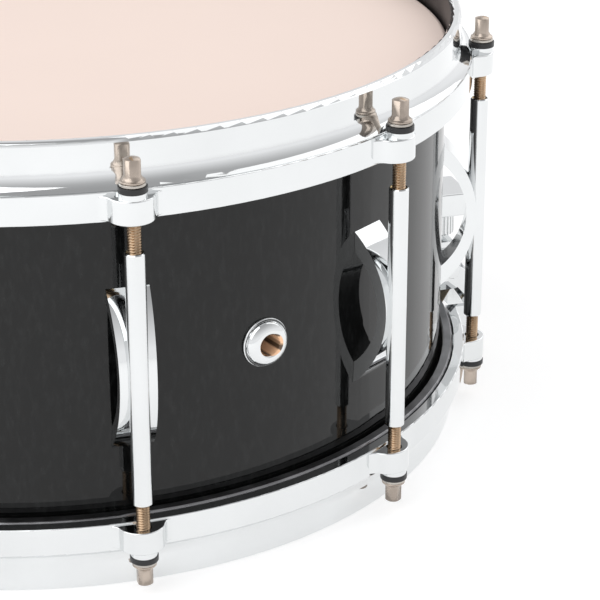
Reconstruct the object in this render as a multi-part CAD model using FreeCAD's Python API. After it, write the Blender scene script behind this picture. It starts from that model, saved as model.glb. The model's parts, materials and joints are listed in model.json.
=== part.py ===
import FreeCAD, Part
import math
import os

# Snare drum, 14 inch by 6 inch, ten tube lugs, die-cast hoops.
# Millimetres, +Z up, origin at the centre of the bottom rim. Lug 1 points along -Y,
# the strainer is on +X and the butt plate on -X. Heights named REL are above mid-height.

V = FreeCAD.Vector
UP = V(0, 0, 1)

# Driving dimensions
LUGS = 10
RIM_REL = 90.6          # half of the height over both rims
SHELL_R = 176.2
SHELL_WALL = 7.5
SHELL_REL = 76.2
BEARING_R = 174.0
BED_DEPTH, BED_WIDTH = 2.0, 90.0
ROD_CIRCLE_R = 191.0

# Hoop
FLANGE_R = 187.4
FLANGE_TOP_REL = 72.6
SKIRT_REL = 61.1
SKIRT_R = 183.0
WALL_R = 182.2
WALL_INNER_R = 177.4
LEDGE_REL = 70.0
LEDGE_R = 178.5
LEDGE_CHAMFER = 2.8
COVE_W, COVE_H = 4.2, 7.0
FLANGE_EDGE_R = 0.5
LIP_R = 1.7
EAR_CENTRE_R, EAR_R = 187.5, 9.0
EAR_TOP_REL, EAR_LOW_REL = 71.2, 61.8
EAR_FILLET_R, EAR_BITE, EAR_EDGE_R = 5.0, 0.15, 0.6
EAR_HOLE_R = 3.2
SEAT_R, SEAT_REL = 5.2, 73.3
SPOT_R = 6.6
GATE_WIDTH = 52.0
GATE_INNER_R = 191.8
GATE_OUTER_R = 194.4

# Heads
FILM = 0.3
FLESH_IN_R, FLESH_OUT_R = 178.2, 182.4
FLESH_LOW_REL = 60.6

# Tension rods and washers
ROD_R = 2.75
RUNNING = 0.05
ROD_LENGTH = 50.8       # under the head
NYLON_R, NYLON_H = 5.5, 2.4
STEEL_R, STEEL_H = 4.9, 1.2
SEAT_GAP = 0.05
ROD_FLANGE_R, ROD_FLANGE_H, ROD_CONE_H = 4.7, 0.9, 2.0
KEY_SQUARE, KEY_CORNER_R, KEY_H = 5.8, 3.3, 9.4
KEY_DOME_R = 6.5

# Lugs
TUBE_R, TUBE_BORE_R = 3.9, 3.3
TUBE_TOP_REL, TUBE_LOW_REL = 50.1, -51.7
INSERT_H, INSERT_DEPTH = 12.0, 0.4
ARCH_MID_REL, ARCH_HALF, ARCH_CROWN_R = -1.8, 32.4, 190.9
VOID_HALF, VOID_CROWN_R = 23.5, 186.6
ARCH_FOOT_W, ARCH_CROWN_W = 16.5, 14.2
LUG_SCREWS_REL = (ARCH_MID_REL - 27.8, ARCH_MID_REL + 27.8)
SCREW_R, SCREW_GRIP = 2.0, 2.1
SCREW_HEAD_R, SCREW_HEAD_H = 4.4, 2.6
SCREW_SLOT_W, SCREW_SLOT_D = 1.1, 1.2

# Vent
VENT_ANGLE, VENT_REL = 18.0, -2.2
VENT_BORE_R, VENT_TUBE_R, VENT_FLANGE_R = 4.35, 5.9, 10.0
VENT_PROUD = 4.6
VENT_NUT_R, VENT_NUT_H = 9.2, 2.4

# Strainer and butt plate
PLATE_W, PLATE_T = 28.4, 2.8
PLATE_TOP_REL, PLATE_LOW_REL = -12.0, -58.5
BLOCK_W, BLOCK_OUT_R, BLOCK_LOW_REL = 25.0, 197.0, -23.0
CHEEK_IN, CHEEK_T, CHEEK_OUT_R = 11.5, 2.7, 192.5
CHEEK_TOP_REL = -40.0
CARRIAGE_W, CARRIAGE_OUT_R = 22.0, 191.0
CARRIAGE_TOP_REL, CARRIAGE_LOW_REL = -36.0, -56.5
CARRIAGE_BACK_R = 179.6
KNOB_R, KNOB_TOP_REL, KNOB_LOW_REL = 7.0, -24.5, -34.5
KNOB_AXIS_R = 186.4
SPINDLE_R = 2.2
KNURLS, KNURL_R = 24, 0.55
PIVOT_R_POS, PIVOT_REL, PIVOT_R = 187.0, -48.0, 2.0
LEVER_IN, LEVER_T = 14.6, 2.6
LEVER_BOSS_R = 5.0
LEVER_FACE_R, LEVER_FACE_T = 196.5, 2.8
LEVER_TOP_REL, LEVER_LOW_REL = -53.0, -74.0
CLAMP_W, CLAMP_T, CLAMP_TOP_REL, CLAMP_LOW_REL = 22.0, 2.0, -46.5, -55.9
CLAMP_SCREW_REL, CLAMP_SCREW_Y = -51.2, 7.5
CLAMP_SCREW_R, CLAMP_HEAD_R, CLAMP_HEAD_H = 1.5, 2.9, 2.2
STRAP_W, STRAP_T = 20.0, 0.5
BUTT_TOP_REL = -30.0
BRACKET_SCREWS_REL = (-17.5, -50.0)
BUTT_SCREWS_REL = (-35.0, -50.0)

# Snare wires
WIRES, WIRE_PITCH, WIRE_R = 20, 2.25, 1.15
WIRE_HALF = 158.0
WIRE_GAP = 0.5
END_PLATE_W, END_PLATE_L, END_PLATE_T = 48.0, 15.0, 0.8

MID = RIM_REL


def z_of(rel):
    return MID + rel


def revolve(points):
    """Solid of revolution about Z from a closed outline of (r, z) points, (r, z, 'arc') marking
    the middle of an arc."""
    edges = outline([(r, 0, z) + tuple(rest) for r, z, *rest in points])
    return Part.Face(Part.Wire(edges)).revolve(V(0, 0, 0), UP, 360)


def outline(points):
    """Edges through the points; a point tagged 'arc' is passed through by an arc."""
    edges = []
    i = 0
    n = len(points)
    while i < n:
        here, ahead = points[i], points[(i + 1) % n]
        if len(ahead) > 3:
            beyond = points[(i + 2) % n]
            edges.append(Part.Arc(V(*here[:3]), V(*ahead[:3]), V(*beyond[:3])).toShape())
            i += 2
        else:
            edges.append(Part.makeLine(V(*here[:3]), V(*ahead[:3])))
            i += 1
    return edges


def prism(points, direction):
    """Closed outline of 3-D points pulled along direction."""
    return Part.Face(Part.Wire(outline(points))).extrude(direction)


def box(x0, x1, y0, y1, z0, z1):
    return Part.makeBox(x1 - x0, y1 - y0, z1 - z0, V(x0, y0, z0))


def rod_cylinder(radius, z0, z1):
    """Vertical cylinder on the rod axis of the lug that points along +X."""
    return Part.makeCylinder(radius, z1 - z0, V(ROD_CIRCLE_R, 0, z0))


def radial_cylinder(radius, r0, r1, y, z):
    return Part.makeCylinder(radius, r1 - r0, V(r0, y, z), V(1, 0, 0))


def place(shape, degrees):
    """Copy of a shape built on +X, turned to an angle counted from -Y towards +X."""
    copy = shape.copy()
    copy.rotate(V(0, 0, 0), UP, degrees - 90)
    return copy


def flip(shape):
    """The same thing on the snare side, mirrored in the mid-plane."""
    return shape.mirror(V(0, 0, MID), UP)


def lug_angles():
    return [i * 360 / LUGS for i in range(LUGS)]


def round_edges(shape, radius, wanted):
    edges = [e for e in shape.Edges if wanted(e)]
    return shape.makeFillet(radius, edges)


def save(name, shape):
    solids = shape.Solids
    assert shape.isValid() and solids, name
    out = solids[0] if len(solids) == 1 else Part.makeCompound(solids)
    out.exportStep(f"parts/{name}.step")
    print(f"{name}: {len(solids)} solid(s), {sum(s.Volume for s in solids) / 1000:.2f} cm3")


# Shell

def bearing_profile(sign):
    """Shell edge from the outer face to the inner face: round-over, peak, 45 degree inner cut."""
    inner = SHELL_R - SHELL_WALL
    outer_run = SHELL_R - BEARING_R
    points = [
        (SHELL_R, SHELL_REL - outer_run * 1.2),
        (BEARING_R + outer_run * 0.72, SHELL_REL - outer_run * 0.34, "arc"),
        (BEARING_R, SHELL_REL),
        (inner, SHELL_REL - (BEARING_R - inner)),
    ]
    return [(r, z_of(sign * rel)) + tuple(tag) for r, rel, *tag in points]


def make_shell():
    body = revolve(bearing_profile(1) + bearing_profile(-1)[::-1])
    bed_r = (BED_DEPTH ** 2 + (BED_WIDTH / 2) ** 2) / (2 * BED_DEPTH)
    bed = Part.makeCylinder(bed_r, 2 * SHELL_R + 20, V(-SHELL_R - 10, 0, z_of(-SHELL_REL) + BED_DEPTH - bed_r),
                            V(1, 0, 0))
    cuts = [bed]
    inside, outside = SHELL_R - SHELL_WALL - 1, SHELL_R + 1
    for angle in lug_angles():
        for rel in LUG_SCREWS_REL:
            cuts.append(place(radial_cylinder(SCREW_R, inside, outside, 0, z_of(rel)), angle))
    for angle, rels in ((90, BRACKET_SCREWS_REL), (270, BUTT_SCREWS_REL)):
        for rel in rels:
            cuts.append(place(radial_cylinder(SCREW_R, inside, outside, 0, z_of(rel)), angle))
    cuts.append(place(radial_cylinder(VENT_TUBE_R, inside, outside, 0, z_of(VENT_REL)), VENT_ANGLE))
    return body.cut(cuts)


# Hoops

def quarter(radius):
    """How far the middle of a quarter-round arc stands in from its square corner."""
    return radius * (1 - math.sqrt(0.5))


def hoop_ring():
    """Flange, cove, wall and rounded lip as one turned ring, with the stepped bore."""
    top, flange_z, skirt_z = z_of(RIM_REL), z_of(FLANGE_TOP_REL), z_of(SKIRT_REL)
    edge, lip = quarter(FLANGE_EDGE_R), quarter(LIP_R)
    cove_r = (COVE_W ** 2 + COVE_H ** 2) / (2 * COVE_W)
    middle = V(COVE_W - 2 * cove_r, 0, -COVE_H).normalize() * cove_r
    return revolve([
        (SKIRT_R, skirt_z),
        (FLANGE_R - FLANGE_EDGE_R, skirt_z),
        (FLANGE_R - edge, skirt_z + edge, "arc"),
        (FLANGE_R, skirt_z + FLANGE_EDGE_R),
        (FLANGE_R, flange_z - FLANGE_EDGE_R),
        (FLANGE_R - edge, flange_z - edge, "arc"),
        (FLANGE_R - FLANGE_EDGE_R, flange_z),
        (WALL_R + COVE_W, flange_z),
        (WALL_R + cove_r + middle.x, flange_z + COVE_H + middle.z, "arc"),
        (WALL_R, flange_z + COVE_H),
        (WALL_R, top - LIP_R),
        (WALL_R - lip, top - lip, "arc"),
        (WALL_R - LIP_R, top),
        (WALL_INNER_R + LIP_R, top),
        (WALL_INNER_R + lip, top - lip, "arc"),
        (WALL_INNER_R, top - LIP_R),
        (WALL_INNER_R, z_of(LEDGE_REL) + LEDGE_CHAMFER),
        (LEDGE_R, z_of(LEDGE_REL)),
        (SKIRT_R, z_of(LEDGE_REL)),
    ])


def make_ear():
    """Boss for the rod, with a concave fillet each side that runs into the flange, and a seat."""
    near = FLANGE_R - EAR_BITE
    reach = near + EAR_FILLET_R
    span = EAR_R + EAR_FILLET_R
    cx = (reach ** 2 - span ** 2 + EAR_CENTRE_R ** 2) / (2 * EAR_CENTRE_R)
    cy = math.sqrt(reach ** 2 - cx ** 2)
    a = (cx * near / reach, cy * near / reach)
    b = (EAR_CENTRE_R + (cx - EAR_CENTRE_R) * EAR_R / span, cy * EAR_R / span)
    middle = V((a[0] + b[0]) / 2 - cx, (a[1] + b[1]) / 2 - cy, 0).normalize() * EAR_FILLET_R
    m = (cx + middle.x, cy + middle.y)
    root = (SKIRT_R + 1.5) / FLANGE_R
    z = z_of(EAR_LOW_REL)
    ear = prism([
        (a[0] * root, -a[1] * root, z),
        (a[0], -a[1], z),
        (m[0], -m[1], z, "arc"),
        (b[0], -b[1], z),
        (EAR_CENTRE_R + EAR_R, 0, z, "arc"),
        (b[0], b[1], z),
        (m[0], m[1], z, "arc"),
        (a[0], a[1], z),
        (a[0] * root, a[1] * root, z),
    ], V(0, 0, EAR_TOP_REL - EAR_LOW_REL))
    ear = round_edges(ear, EAR_EDGE_R, is_ear_outline)
    return ear.fuse(rod_cylinder(SEAT_R, z_of(EAR_TOP_REL) - 1, z_of(SEAT_REL)))


def is_ear_outline(e):
    """True on the curved edges of the ear's outline, at its top and bottom faces."""
    return e.BoundBox.ZLength < 1e-6 and e.Curve.TypeId == "Part::GeomCircle"


def make_hoop():
    hoop = hoop_ring().fuse([place(make_ear(), angle) for angle in lug_angles()]).removeSplitter()
    cuts = []
    for angle in lug_angles():
        cuts.append(place(rod_cylinder(EAR_HOLE_R, z_of(SKIRT_REL) - 1, z_of(SEAT_REL) + 1), angle))
        cuts.append(place(rod_cylinder(SPOT_R, z_of(SEAT_REL), z_of(FLANGE_TOP_REL) + COVE_H), angle))
    return hoop.cut(cuts)


def make_snare_hoop(batter):
    """The mirrored hoop, bridged out over each strap gate with the wall cut away below."""
    hoop = flip(batter)
    half = GATE_WIDTH / 2
    low, high = z_of(-FLANGE_TOP_REL), z_of(-SKIRT_REL)
    bridge = Part.makeCylinder(GATE_OUTER_R, high - low, V(0, 0, low))
    bridge = bridge.cut(Part.makeCylinder(SKIRT_R + 1, high - low, V(0, 0, low)))
    inside = Part.makeCylinder(GATE_INNER_R, 60, V(0, 0, z_of(-RIM_REL) - 1))
    window = []
    for side in (-1, 1):
        x0, x1 = sorted((side * 150, side * 200))
        hoop = hoop.fuse(bridge.common(box(x0, x1, -half - 3, half + 3, low, high)))
        window.append(inside.common(box(x0, x1, -half, half, z_of(-RIM_REL) - 1, high + 1)))
        window.append(box(x0, x1, -half, half, z_of(-RIM_REL) - 1, low))
    return hoop.cut(window)


# Heads

def make_head_film():
    """Flat film with a shoulder over the bearing edge and a collar down inside the flesh hoop."""
    top = SHELL_REL + FILM
    shoulder_r, collar_r = SHELL_R + 0.5, FLESH_IN_R - FILM
    under = [
        (0, z_of(SHELL_REL)),
        (BEARING_R, z_of(SHELL_REL)),
        (shoulder_r - 0.55, z_of(SHELL_REL - 0.8), "arc"),
        (shoulder_r, z_of(SHELL_REL - 2.6)),
        (collar_r, z_of(LEDGE_REL - 2)),
        (collar_r, z_of(FLESH_LOW_REL + 1)),
    ]
    over = [
        (FLESH_IN_R, z_of(FLESH_LOW_REL + 1)),
        (FLESH_IN_R, z_of(LEDGE_REL - 2)),
        (shoulder_r + FILM, z_of(SHELL_REL - 2.6)),
        (shoulder_r - 0.33, z_of(SHELL_REL - 0.58), "arc"),
        (BEARING_R, z_of(top)),
        (0, z_of(top)),
    ]
    return revolve(under + over)


def make_flesh_hoop():
    low, high, edge = z_of(FLESH_LOW_REL), z_of(LEDGE_REL), 1.0
    bevel = edge * (1 - math.sqrt(0.5))
    return revolve([
        (FLESH_IN_R, low),
        (FLESH_OUT_R - edge, low),
        (FLESH_OUT_R - bevel, low + bevel, "arc"),
        (FLESH_OUT_R, low + edge),
        (FLESH_OUT_R, high),
        (FLESH_IN_R, high),
    ])


# Tension rods

def make_rod():
    """Square key head with a domed top on a coned flange, and the shank; built on +X, head up."""
    seat = z_of(SEAT_REL) + NYLON_H + STEEL_H + SEAT_GAP
    flange = rod_cylinder(ROD_FLANGE_R, seat, seat + ROD_FLANGE_H)
    flange = flange.makeChamfer(0.2, [e for e in flange.Edges if len(e.Vertexes) == 1])
    half = KEY_SQUARE / 2
    cone = Part.makeCone(ROD_FLANGE_R - 0.5, half, ROD_CONE_H, V(ROD_CIRCLE_R, 0, seat + ROD_FLANGE_H))
    base = seat + ROD_FLANGE_H / 2
    key = box(ROD_CIRCLE_R - half, ROD_CIRCLE_R + half, -half, half, base, seat + KEY_H)
    key = round_edges(key, 0.5, lambda e: e.BoundBox.ZLength > KEY_H / 2)
    dome = Part.makeSphere(KEY_DOME_R, V(ROD_CIRCLE_R, 0, seat + KEY_H - KEY_DOME_R))
    dome = dome.fuse(rod_cylinder(KEY_SQUARE, base - 1, seat + KEY_H - KEY_DOME_R))
    turned = rod_cylinder(KEY_CORNER_R, base - 1, seat + KEY_H + 1)
    key = key.common(dome).common(turned)
    shank = rod_cylinder(ROD_R, seat - ROD_LENGTH, seat + 0.5)
    shank = shank.makeChamfer(0.7, [e for e in shank.Edges if abs(e.BoundBox.ZMax - seat + ROD_LENGTH) < 1e-6])
    return shank.fuse([flange, cone, key]).removeSplitter()


def make_washer(radius, z0, height):
    washer = rod_cylinder(radius, z0, z0 + height)
    washer = washer.makeFillet(0.3, [e for e in washer.Edges if len(e.Vertexes) == 1])
    return washer.cut(rod_cylinder(ROD_R + RUNNING, z0 - 1, z0 + height + 1))


def both_sides(shape):
    """One shape at every lug on the batter side and mirrored on the snare side."""
    upper = [place(shape, angle) for angle in lug_angles()]
    return Part.makeCompound(upper + [flip(s) for s in upper])


# Lugs

def make_tube():
    low, high = z_of(TUBE_LOW_REL), z_of(TUBE_TOP_REL)
    tube = rod_cylinder(TUBE_R, low, high)
    tube = tube.makeChamfer(0.4, [e for e in tube.Edges if len(e.Vertexes) == 1])
    return tube.cut(rod_cylinder(TUBE_BORE_R, low - 1, high + 1))


def make_insert(low):
    """Brass bush that carries the thread, just inside the tube's end."""
    body = rod_cylinder(TUBE_BORE_R, low, low + INSERT_H)
    return body.cut(rod_cylinder(ROD_R + RUNNING, low - 1, low + INSERT_H + 1))


def make_inserts():
    lows = (z_of(TUBE_TOP_REL) - INSERT_DEPTH - INSERT_H, z_of(TUBE_LOW_REL) + INSERT_DEPTH)
    return Part.makeCompound([place(make_insert(low), angle) for low in lows for angle in lug_angles()])


def bow_outline(half, crown_r, back_r, y):
    """Side outline of a bow that stands on the shell and rises to crown_r at its middle."""
    middle = z_of(ARCH_MID_REL)
    return [
        (back_r, y, middle - half),
        (SHELL_R, y, middle - half),
        (crown_r, y, middle, "arc"),
        (SHELL_R, y, middle + half),
        (back_r, y, middle + half),
    ]


def make_arch():
    """Bow from the shell out to the tube, pointed void behind it, waisted sides, tube seat."""
    half_w = ARCH_FOOT_W / 2
    bow = prism(bow_outline(ARCH_HALF, ARCH_CROWN_R, SHELL_R - 3, -half_w), V(0, ARCH_FOOT_W, 0))
    void = prism(bow_outline(VOID_HALF, VOID_CROWN_R, SHELL_R - 8, -half_w - 1), V(0, ARCH_FOOT_W + 2, 0))
    waist = (ARCH_FOOT_W - ARCH_CROWN_W) / 2
    side_r = (ARCH_HALF ** 2 + waist ** 2) / (2 * waist)
    side_y = ARCH_CROWN_W / 2 + side_r
    middle = z_of(ARCH_MID_REL)
    cuts = [void]
    cuts += [Part.makeCylinder(side_r, 40, V(SHELL_R - 10, s * side_y, middle), V(1, 0, 0)) for s in (-1, 1)]
    cuts.append(rod_cylinder(TUBE_R, z_of(TUBE_LOW_REL), z_of(TUBE_TOP_REL)))
    cuts.append(shell_cutter())
    for rel in LUG_SCREWS_REL:
        cuts.append(radial_cylinder(SCREW_R, SHELL_R - 1, SHELL_R + SCREW_GRIP, 0, z_of(rel)))
    return bow.cut(cuts)


def make_inner_screw(angle, rel, tip_r):
    """Slotted pan-head screw driven outwards from inside the shell."""
    seat = SHELL_R - SHELL_WALL - 0.1
    head = radial_cylinder(SCREW_HEAD_R, seat - SCREW_HEAD_H, seat, 0, z_of(rel))
    head = head.makeFillet(1.0, [e for e in head.Edges if abs(e.BoundBox.XMax - seat + SCREW_HEAD_H) < 1e-6])
    slot = box(seat - SCREW_HEAD_H - 1, seat - SCREW_HEAD_H + SCREW_SLOT_D, -SCREW_HEAD_R, SCREW_HEAD_R,
               z_of(rel) - SCREW_SLOT_W / 2, z_of(rel) + SCREW_SLOT_W / 2)
    shank = radial_cylinder(SCREW_R, seat - 0.5, tip_r, 0, z_of(rel))
    return place(head.cut(slot).fuse(shank), angle)


# Vent

def make_vent_grommet():
    """Domed grommet: tube through the shell, thin rim, face rising to the mouth of the bore."""
    seat = SHELL_R - 0.3
    mouth = SHELL_R + VENT_PROUD
    inner = SHELL_R - SHELL_WALL - VENT_NUT_H - 1
    rim = VENT_FLANGE_R
    axis_z = z_of(VENT_REL)
    profile = [
        (inner, VENT_BORE_R),
        (inner, VENT_TUBE_R),
        (seat, VENT_TUBE_R),
        (seat, rim - 0.5),
        (seat + 0.7, rim, "arc"),
        (seat + 1.3, rim - 0.4),
        (mouth - 0.9, rim - 2.2, "arc"),
        (mouth, VENT_BORE_R + 1.1),
        (mouth - 0.3, VENT_BORE_R + 0.3, "arc"),
        (mouth - 1.2, VENT_BORE_R),
    ]
    edges = outline([(x, r, axis_z) + tuple(tag) for x, r, *tag in profile])
    body = Part.Face(Part.Wire(edges)).revolve(V(0, 0, axis_z), V(1, 0, 0), 360)
    keep = radial_cylinder(VENT_TUBE_R, inner - 1, SHELL_R + 10, 0, axis_z)
    return place(body.cut(shell_cutter().cut(keep)), VENT_ANGLE)


def make_vent_nut():
    seat = SHELL_R - SHELL_WALL - 0.3
    nut = radial_cylinder(VENT_NUT_R, seat - VENT_NUT_H, seat, 0, z_of(VENT_REL))
    nut = nut.makeFillet(0.6, [e for e in nut.Edges if len(e.Vertexes) == 1 and e.BoundBox.XMax < seat - 1])
    return place(nut.cut(radial_cylinder(VENT_TUBE_R, seat - 10, seat + 1, 0, z_of(VENT_REL))), VENT_ANGLE)


# Strainer, built on +X

def shell_cutter():
    return Part.makeCylinder(SHELL_R, 200, V(0, 0, z_of(-100)))


def screw_holes(rels):
    return [radial_cylinder(SCREW_R, SHELL_R - 1, SHELL_R + SCREW_GRIP, 0, z_of(rel)) for rel in rels]


def bracket_plate(top_rel):
    half = PLATE_W / 2
    plate = box(SHELL_R - 3, SHELL_R + PLATE_T, -half, half, z_of(PLATE_LOW_REL), z_of(top_rel))
    front = SHELL_R + PLATE_T
    plate = round_edges(plate, 3.0, lambda e: e.BoundBox.XLength > 3)
    return round_edges(plate, 0.7, lambda e: e.BoundBox.XMin > front - 0.01)


def make_strainer_base():
    front = SHELL_R + PLATE_T
    half = BLOCK_W / 2
    block = box(front - 1, BLOCK_OUT_R, -half, half, z_of(BLOCK_LOW_REL), z_of(PLATE_TOP_REL))
    block = round_edges(block, 2.0, lambda e: e.BoundBox.XMin > BLOCK_OUT_R - 0.01 and e.BoundBox.YLength < 1)
    block = round_edges(block, 0.8, lambda e: e.BoundBox.ZLength < 0.01 and e.BoundBox.XMax > front)
    parts = [block]
    for side in (-1, 1):
        y0, y1 = sorted((side * CHEEK_IN, side * (CHEEK_IN + CHEEK_T)))
        cheek = box(front - 1, CHEEK_OUT_R, y0, y1, z_of(PLATE_LOW_REL), z_of(CHEEK_TOP_REL))
        parts.append(round_edges(cheek, 3.0, lambda e: e.BoundBox.XMin > CHEEK_OUT_R - 0.01 and e.BoundBox.YLength > 1))
    base = bracket_plate(PLATE_TOP_REL).fuse(parts)
    pivot = Part.makeCylinder(PIVOT_R, 60, V(PIVOT_R_POS, -30, z_of(PIVOT_REL)), V(0, 1, 0))
    spindle = Part.makeCylinder(SPINDLE_R + RUNNING, 7.5, V(KNOB_AXIS_R, 0, z_of(BLOCK_LOW_REL) - 0.5))
    return base.cut([shell_cutter(), pivot, spindle] + screw_holes(BRACKET_SCREWS_REL))


def make_knob():
    """Knurled tension knob with a spindle up into the block and down into the carriage."""
    height = KNOB_TOP_REL - KNOB_LOW_REL
    knob = Part.makeCylinder(KNOB_R, height, V(KNOB_AXIS_R, 0, z_of(KNOB_LOW_REL)))
    knob = knob.makeFillet(0.9, [e for e in knob.Edges if len(e.Vertexes) == 1])
    flutes = []
    for i in range(KNURLS):
        turn = 2 * math.pi * i / KNURLS
        at = V(KNOB_AXIS_R + KNOB_R * math.cos(turn), KNOB_R * math.sin(turn), z_of(KNOB_LOW_REL) - 1)
        flutes.append(Part.makeCylinder(KNURL_R, height + 2, at))
    above = Part.makeCylinder(SPINDLE_R, 8, V(KNOB_AXIS_R, 0, z_of(KNOB_TOP_REL) - 0.5))
    below = Part.makeCylinder(SPINDLE_R, 16, V(KNOB_AXIS_R, 0, z_of(KNOB_LOW_REL) - 15.5))
    collar = Part.makeCylinder(4.2, KNOB_TOP_REL - BLOCK_LOW_REL + 1.8, V(KNOB_AXIS_R, 0, z_of(KNOB_TOP_REL) - 0.5))
    return knob.cut(flutes).fuse([above, below, collar])


def clamp_screw_holes():
    return [radial_cylinder(CLAMP_SCREW_R, CARRIAGE_OUT_R - 5, CARRIAGE_OUT_R + 10, side * CLAMP_SCREW_Y,
                            z_of(CLAMP_SCREW_REL)) for side in (-1, 1)]


def make_carriage():
    half = CARRIAGE_W / 2
    body = box(CARRIAGE_BACK_R, CARRIAGE_OUT_R, -half, half, z_of(CARRIAGE_LOW_REL), z_of(CARRIAGE_TOP_REL))
    body = round_edges(body, 1.0, lambda e: e.BoundBox.XLength < 0.01 and e.BoundBox.XMax > CARRIAGE_OUT_R - 0.01)
    bore = Part.makeCylinder(SPINDLE_R + RUNNING, 40, V(KNOB_AXIS_R, 0, z_of(CARRIAGE_TOP_REL) - 30))
    return body.cut([bore] + clamp_screw_holes())


def make_clamp_plate():
    half = CLAMP_W / 2
    x = CARRIAGE_OUT_R + STRAP_T
    plate = box(x, x + CLAMP_T, -half, half, z_of(CLAMP_LOW_REL), z_of(CLAMP_TOP_REL))
    plate = round_edges(plate, 0.6, lambda e: e.BoundBox.XMin > x + CLAMP_T - 0.01)
    return plate.cut(clamp_screw_holes())


def make_clamp_screws():
    x = CARRIAGE_OUT_R + STRAP_T + CLAMP_T
    screws = []
    for side in (-1, 1):
        y, z = side * CLAMP_SCREW_Y, z_of(CLAMP_SCREW_REL)
        head = radial_cylinder(CLAMP_HEAD_R, x, x + CLAMP_HEAD_H, y, z)
        head = head.makeFillet(0.7, [e for e in head.Edges if e.BoundBox.XMin > x + CLAMP_HEAD_H - 0.01])
        slot = box(x + CLAMP_HEAD_H - 1, x + CLAMP_HEAD_H + 1, y - 0.4, y + 0.4, z - 4, z + 4)
        screws.append(head.cut(slot).fuse(radial_cylinder(CLAMP_SCREW_R, CARRIAGE_OUT_R - 5, x + 0.5, y, z)))
    return Part.makeCompound(screws)


def make_lever():
    """Fork round the cheeks, joined by a broad finger face; hangs down when the snares are on."""
    boss_z = z_of(PIVOT_REL)
    low, high = z_of(LEVER_LOW_REL), z_of(LEVER_TOP_REL)
    front = LEVER_FACE_R + LEVER_FACE_T
    half = LEVER_IN + LEVER_T
    body = prism([
        (PIVOT_R_POS, -half, boss_z + LEVER_BOSS_R),
        (PIVOT_R_POS - LEVER_BOSS_R, -half, boss_z, "arc"),
        (PIVOT_R_POS, -half, boss_z - LEVER_BOSS_R),
        (LEVER_FACE_R - 1.5, -half, high - 9),
        (LEVER_FACE_R, -half, low),
        (front, -half, low),
        (front, -half, high),
    ], V(0, 2 * half, 0))
    body = round_edges(body, 1.0, lambda e: e.BoundBox.XMin > front - 0.01)
    pocket = box(PIVOT_R_POS - 20, LEVER_FACE_R, -LEVER_IN, LEVER_IN, low - 1, boss_z + 20)
    bore = Part.makeCylinder(PIVOT_R + RUNNING, 60, V(PIVOT_R_POS, -30, boss_z), V(0, 1, 0))
    top = box(LEVER_FACE_R - 1, front + 1, -LEVER_IN, LEVER_IN, high, boss_z + 20)
    return body.cut([pocket, bore, top])


def make_pivot_pins():
    """Two stub pins pressed into the cheeks; their heads keep the lever on."""
    cap_y = LEVER_IN + LEVER_T + 0.3
    pins = []
    for side in (-1, 1):
        start = V(PIVOT_R_POS, side * CHEEK_IN, z_of(PIVOT_REL))
        stub = Part.makeCylinder(PIVOT_R, cap_y - CHEEK_IN + 0.5, start, V(0, side, 0))
        cap = Part.makeCylinder(3.6, 1.3, V(PIVOT_R_POS, side * cap_y, z_of(PIVOT_REL)), V(0, side, 0))
        cap = cap.makeFillet(0.5, [e for e in cap.Edges if len(e.Vertexes) == 1 and abs(e.BoundBox.YMax) > 0
                                   and abs(abs(e.CenterOfMass.y) - cap_y - 1.3) < 1e-6])
        pins.append(stub.fuse(cap))
    return Part.makeCompound(pins)


def make_butt_base():
    front = SHELL_R + PLATE_T
    half = CARRIAGE_W / 2
    block = box(front - 1, CARRIAGE_OUT_R, -half, half, z_of(CARRIAGE_LOW_REL), z_of(CARRIAGE_TOP_REL))
    block = round_edges(block, 1.6, lambda e: e.BoundBox.XMin > CARRIAGE_OUT_R - 0.01 and e.BoundBox.YLength < 1)
    base = bracket_plate(BUTT_TOP_REL).fuse(block)
    return base.cut([shell_cutter()] + clamp_screw_holes() + screw_holes(BUTT_SCREWS_REL))


# Snares

def strap_path():
    """Down from the clamp, through the gate and in under the bearing edge to the end plate."""
    film = z_of(-SHELL_REL - FILM)
    x = CARRIAGE_OUT_R
    return [
        (x, z_of(CLAMP_TOP_REL)),
        (x, z_of(CLAMP_LOW_REL) - 0.8),
        (FLESH_OUT_R + 1.4, z_of(-LEDGE_REL) + 1.0),
        (FLESH_OUT_R + 0.6, z_of(-LEDGE_REL) - 1.5),
        (BEARING_R + 1.0, film - WIRE_GAP),
        (WIRE_HALF + 3, film - WIRE_GAP),
    ]


def make_strap():
    half = STRAP_W / 2
    path = strap_path()
    bends = len(path) - 1
    inner = [(x, -half, z) for x, z in path]
    outer = []
    for i, (x, z) in enumerate(path):
        before, after = path[max(i - 1, 0)], path[min(i + 1, bends)]
        along = V(after[0] - before[0], 0, after[1] - before[1]).normalize()
        outer.append((x - along.z * STRAP_T, -half, z + along.x * STRAP_T))
    strap = prism(inner + outer[::-1], V(0, STRAP_W, 0))
    return strap.cut([h for h in clamp_screw_holes()])


def make_end_plate():
    top = z_of(-SHELL_REL - FILM) - WIRE_GAP - STRAP_T
    half = END_PLATE_W / 2
    plate = box(WIRE_HALF - 2, WIRE_HALF - 2 + END_PLATE_L, -half, half, top - END_PLATE_T, top)
    return round_edges(plate, 2.0, lambda e: e.BoundBox.ZLength > END_PLATE_T / 2)


def make_wires():
    """Each strand as the plain rod that its coil fills, side by side under the snare head."""
    top = z_of(-SHELL_REL - FILM) - WIRE_GAP
    length = 2 * (WIRE_HALF - 2)
    strands = []
    for i in range(WIRES):
        y = (i - (WIRES - 1) / 2) * WIRE_PITCH
        strands.append(Part.makeCylinder(WIRE_R, length, V(-length / 2, y, top - WIRE_R), V(1, 0, 0)))
    return Part.makeCompound(strands)


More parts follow.
